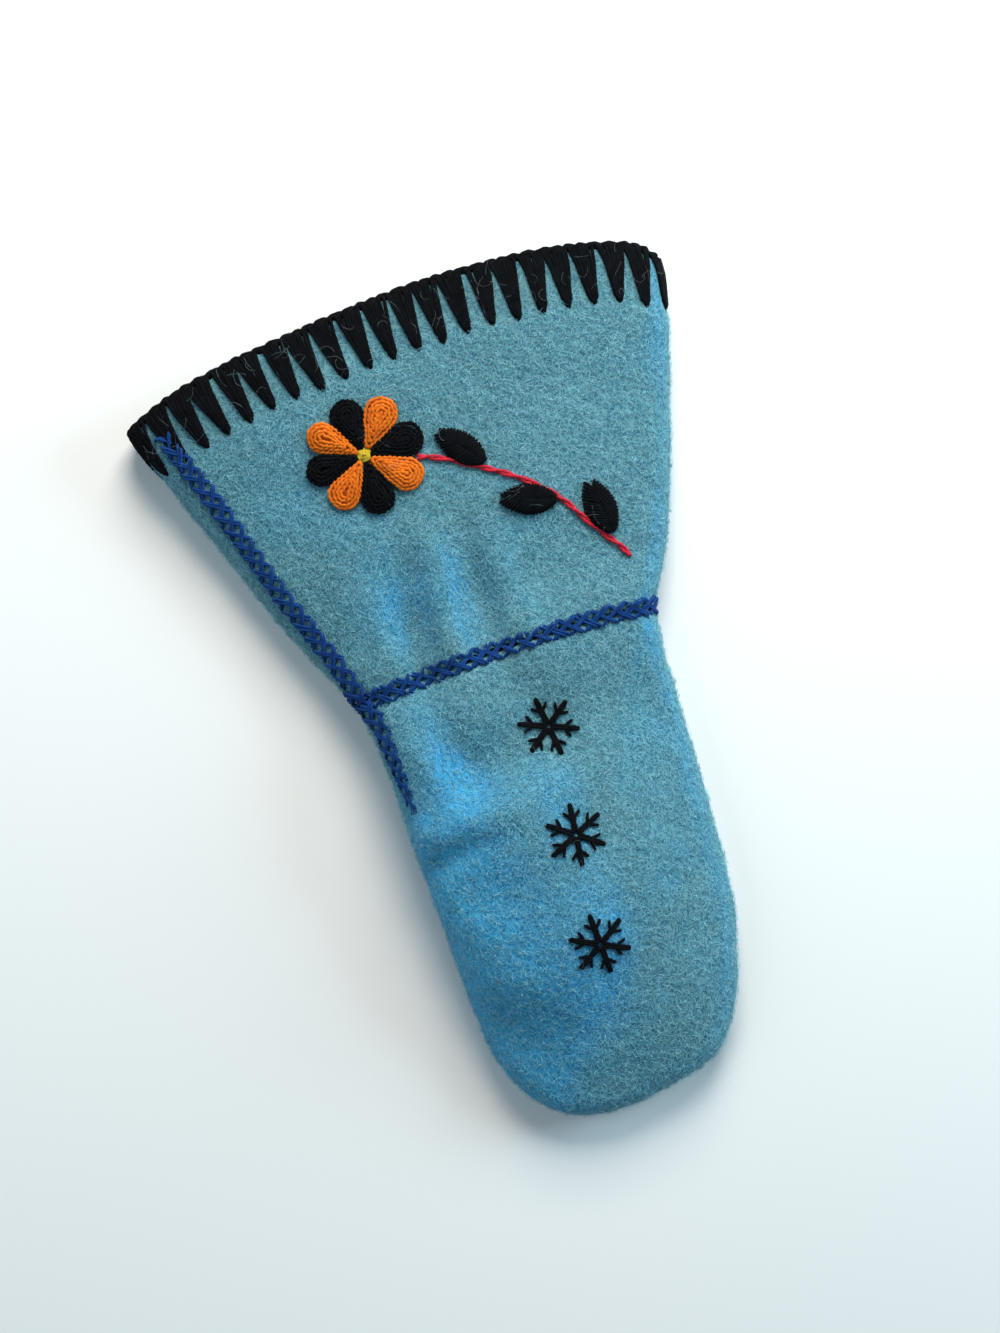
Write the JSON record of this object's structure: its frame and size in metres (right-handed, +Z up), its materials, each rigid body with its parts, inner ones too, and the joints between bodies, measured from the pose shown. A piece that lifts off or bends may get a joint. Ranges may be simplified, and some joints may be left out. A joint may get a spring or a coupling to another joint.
{
  "type": "embroidered wool mitten",
  "caption": "Thick felted wool mitten with a wide flared gauntlet cuff, blanket-stitched rim, herringbone seams and a stitched flower with stem and leaves.",
  "frame": {"origin": "bottom centre of the mitten's bounding box, lying palm down", "axes": "+Z up, +Y along the mitten from the finger tip to the cuff's open rim, +X across it, away from the thumb's side"},
  "size_m": [0.2356, 0.3532, 0.038],
  "materials": {
    "wool": "felted wool with a short curly nap",
    "black_yarn": "matt wool yarn",
    "orange_yarn": "matt wool yarn",
    "yellow_yarn": "matt wool yarn",
    "red_yarn": "matt wool yarn",
    "blue_yarn": "matt wool yarn"
  },
  "bodies": {
    "root": {"cuff": "wool", "hand": "wool", "thumb": "wool", "rim_stitching": "black_yarn", "wrist_stitching": "blue_yarn", "cuff_side_stitching": "blue_yarn", "hand_side_stitching": "blue_yarn", "stem": "red_yarn", "flower_knot": "yellow_yarn", "petal_black_1": "black_yarn", "petal_black_2": "black_yarn", "petal_black_3": "black_yarn", "petal_black_4": "black_yarn", "petal_orange_1": "orange_yarn", "petal_orange_2": "orange_yarn", "petal_orange_3": "orange_yarn", "petal_orange_4": "orange_yarn", "leaf_1": "black_yarn", "leaf_2": "black_yarn", "leaf_3": "black_yarn", "star_1": "black_yarn", "star_2": "black_yarn", "star_3": "black_yarn"}
  },
  "joints": []
}
